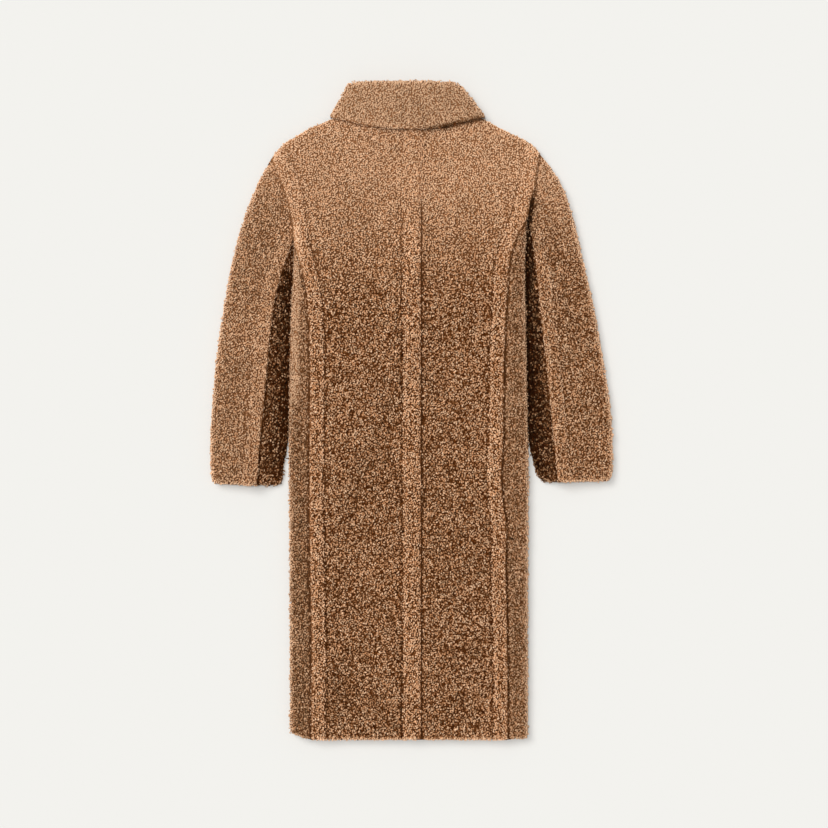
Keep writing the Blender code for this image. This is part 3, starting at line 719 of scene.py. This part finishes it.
def grow(name, facing, points, normals, rng):
    """The locks on one piece, in as many meshes as their number asks for."""
    count = len(points)
    pile = Pile(name, points, normals)
    depths = pile_depths(name, points, normals, pile.smooth)
    flow = lock_ways(name, points, normals, pile, rng)
    at_side = 1 - np.clip(np.abs(normals[:, 2]) / SIDE_ON, 0, 1)
    lengths = LOCK_LENGTH[facing] * rng.uniform(*LENGTH_SPREAD, count)
    radii = LOCK_RADIUS[facing] * rng.uniform(*RADIUS_SPREAD, count) * lerp(1.0, SIDE_RADIUS, at_side)
    even = lerp(1.0, SMOOTH_SPREAD, pile.smooth)
    lifts = even * rng.normal(*LIFT, count) - radii - GROOVE_DEPTH * pile.groove
    stands_out = FRINGE_LEAST + np.abs(rng.normal(size=count))
    lifts += np.maximum(at_side, pile.at_rim) * FRINGE * stands_out
    path, height = lock_paths(points, normals, flow, depths, lengths, lifts, rng)
    path += (normals * pile.relief[:, None])[:, None]
    across_seam = CROSS_SEAM * pile.at_seam * np.abs(rng.normal(size=count))
    path += (pile.to_seam * across_seam[:, None])[:, None]
    shade = np.clip(pile.shade + even * SHADE_SPREAD * rng.normal(size=count), 0, 1)
    label = "_curls" if facing == "up" else "_curls_below"
    parts = math.ceil(count / MOST_LOCKS)
    order = np.argsort(-points[:, 1], kind="stable")
    facts = (path, height, normals, depths, radii, pile.smooth, shade)
    pieces = []
    for number, chosen in enumerate(np.array_split(order, parts)):
        tag = label if parts == 1 else f"{label}_{number + 1}"
        pieces.append(lock_mesh(name + tag, *(fact[chosen] for fact in facts)))
    return pieces


def new_material(name):
    material = bpy.data.materials.new(name)
    material.use_nodes = True
    return material, material.node_tree, material.node_tree.nodes["Principled BSDF"]


def add_node(tree, kind, **values):
    node = tree.nodes.new(kind)
    for key, value in values.items():
        setattr(node, key, value)
    return node


def ramp(tree, stops):
    node = add_node(tree, "ShaderNodeValToRGB")
    elements = node.color_ramp.elements
    while len(elements) < len(stops):
        elements.new(0.5)
    for element, (place, colour) in zip(elements, stops):
        element.position = place
        element.color = (*colour, 1.0)
    return node


def mix(tree, factor, first, second):
    """A mix of two colours, each a socket or a plain colour."""
    mixed = add_node(tree, "ShaderNodeMix", data_type="RGBA")
    tree.links.new(factor, mixed.inputs["Factor"])
    for socket, colour in (("A", first), ("B", second)):
        if isinstance(colour, tuple):
            mixed.inputs[socket].default_value = (*colour, 1.0)
        else:
            tree.links.new(colour, mixed.inputs[socket])
    return mixed.outputs["Result"]


def shaded(tree, colour):
    """The colour times the ramp of the points' shade, which carries the painted light and shade as well as
    the pile's own tone.
    """
    shade = add_node(tree, "ShaderNodeAttribute", attribute_name="shade")
    by_shade = ramp(tree, [
        (0.0, (0.05, 0.035, 0.02)),
        (0.2, (0.38, 0.32, 0.25)),
        (0.5, (1.0, 0.98, 0.95)),
        (1.0, (1.60, 1.60, 1.60)),
    ])
    mixed = add_node(tree, "ShaderNodeMix", data_type="RGBA", blend_type="MULTIPLY")
    mixed.inputs["Factor"].default_value = 1.0
    tree.links.new(shade.outputs["Fac"], by_shade.inputs["Fac"])
    tree.links.new(colour, mixed.inputs["A"])
    tree.links.new(by_shade.outputs["Color"], mixed.inputs["B"])
    return mixed.outputs["Result"]


def lock_material():
    """Teddy pile: dark at the roots with painted shade of the gaps between locks, paler towards the crowns,
    and a little different from lock to lock.
    """
    material, tree, shader = new_material("teddy_pile")
    rise = add_node(tree, "ShaderNodeAttribute", attribute_name="rise")
    by_height = ramp(tree, [
        (0.0, (0.050, 0.009, 0.001)),
        (0.38, (0.112, 0.030, 0.004)),
        (0.62, (0.480, 0.236, 0.112)),
        (1.0, (0.670, 0.434, 0.272)),
    ])
    tree.links.new(rise.outputs["Fac"], by_height.inputs["Fac"])
    tree.links.new(shaded(tree, by_height.outputs["Color"]), shader.inputs["Base Color"])
    fibre = add_node(tree, "ShaderNodeTexNoise")
    fibre.inputs["Scale"].default_value = 1400.0
    fibre.inputs["Detail"].default_value = 3.0
    place = add_node(tree, "ShaderNodeTexCoord")
    bump = add_node(tree, "ShaderNodeBump")
    bump.inputs["Strength"].default_value = 0.5
    bump.inputs["Distance"].default_value = 0.0005
    tree.links.new(place.outputs["Object"], fibre.inputs["Vector"])
    tree.links.new(fibre.outputs["Fac"], bump.inputs["Height"])
    tree.links.new(bump.outputs["Normal"], shader.inputs["Normal"])
    shader.inputs["Roughness"].default_value = 0.9
    shader.inputs["Specular IOR Level"].default_value = 0.01
    shader.inputs["Sheen Weight"].default_value = 0.04
    shader.inputs["Sheen Roughness"].default_value = 0.5
    shader.inputs["Sheen Tint"].default_value = (0.90, 0.58, 0.36, 1.0)
    return material


def backing_material():
    """The backing under the pile: cloth with a curly relief, painted dark as the shade in the gaps between
    the locks, and paler under smooth pile.
    """
    material, tree, shader = new_material("teddy_backing")
    place = add_node(tree, "ShaderNodeTexCoord")
    curls = add_node(tree, "ShaderNodeTexNoise")
    curls.inputs["Scale"].default_value = 260.0
    curls.inputs["Detail"].default_value = 4.0
    curls.inputs["Distortion"].default_value = 1.6
    tone = ramp(tree, [
        (0.35, (0.045, 0.011, 0.001)),
        (0.55, (0.120, 0.038, 0.008)),
        (0.75, (0.260, 0.115, 0.040)),
    ])
    bump = add_node(tree, "ShaderNodeBump")
    bump.inputs["Strength"].default_value = 1.0
    bump.inputs["Distance"].default_value = 0.002
    tree.links.new(place.outputs["Object"], curls.inputs["Vector"])
    tree.links.new(curls.outputs["Fac"], tone.inputs["Fac"])
    tree.links.new(curls.outputs["Fac"], bump.inputs["Height"])
    smooth = add_node(tree, "ShaderNodeAttribute", attribute_name="smooth")
    pit_shade_colour = mix(tree, smooth.outputs["Fac"], tone.outputs["Color"], (0.300, 0.140, 0.062))
    tree.links.new(shaded(tree, pit_shade_colour), shader.inputs["Base Color"])
    tree.links.new(bump.outputs["Normal"], shader.inputs["Normal"])
    shader.inputs["Roughness"].default_value = 0.95
    shader.inputs["Specular IOR Level"].default_value = 0.02
    return material


def dress():
    """Makes every piece's backing and locks, and says what they stand for."""
    cloth_look, lock_look = backing_material(), lock_material()
    rng = np.random.default_rng(SEED)
    roots = {facing: lock_roots(facing, rng) for facing in LOCK_SPACING}
    for number, name in enumerate(SURFACES):
        cloth = backing(name)
        cloth.data.materials.append(cloth_look)
        locks = []
        for facing, (points, normals, owners) in roots.items():
            mine = owners == number
            if mine.any():
                locks += grow(name, facing, points[mine], normals[mine], rng)
        for piece in locks:
            piece.data.materials.append(lock_look)
        for piece in [cloth, *locks]:
            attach(piece, BODY)
        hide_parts(name)


def floor():
    mesh = bpy.data.meshes.new("floor")
    signs = [(-1, -1), (1, -1), (1, 1), (-1, 1)]
    mesh.from_pydata([(x * FLOOR_HALF, y * FLOOR_HALF, 0) for x, y in signs], [], [(0, 1, 2, 3)])
    piece = link("floor", mesh)
    material, _, shader = new_material("floor")
    shader.inputs["Base Color"].default_value = FLOOR_COLOUR
    shader.inputs["Roughness"].default_value = 0.95
    shader.inputs["Specular IOR Level"].default_value = 0.1
    mesh.materials.append(material)


def soft_light(name, way, strength, angle):
    """A distant light from the given way, which lights level ground as much as a room of its strength."""
    way = Vector(way).normalized()
    sun = bpy.data.lights.new(name, "SUN")
    sun.energy = strength * math.pi / abs(way.z)
    sun.angle = math.radians(angle)
    light = bpy.data.objects.new(name, sun)
    light.rotation_euler = way.to_track_quat("Z", "Y").to_euler()
    bpy.context.scene.collection.objects.link(light)


def studio():
    """An even room, a key from the upper left, a light overhead, and a fill for the underside."""
    world = bpy.data.worlds.new("studio")
    world.use_nodes = True
    background = world.node_tree.nodes["Background"]
    background.inputs["Color"].default_value = (1.0, 1.0, 1.0, 1.0)
    background.inputs["Strength"].default_value = 0.30
    bpy.context.scene.world = world
    soft_light("key", (-0.55, 0.50, 1.0), strength=0.40, angle=32)
    soft_light("overhead", (-0.08, 0.06, 1.0), strength=0.55, angle=12)
    soft_light("underside", (0.30, -0.30, -1.0), strength=0.60, angle=60)
    bpy.context.scene.view_settings.view_transform = "Standard"


def camera():
    data = bpy.data.cameras.new("camera")
    data.sensor_width = SENSOR_WIDTH
    data.lens = SENSOR_WIDTH * (CAMERA_HEIGHT - WIDEST_HEIGHT) / FRAME_WIDTH
    data.clip_end = 100.0
    piece = bpy.data.objects.new("camera", data)
    piece.location = (*FRAME_MIDDLE, CAMERA_HEIGHT)
    bpy.context.scene.collection.objects.link(piece)
    bpy.context.scene.camera = piece


camera()
studio()
floor()
dress()
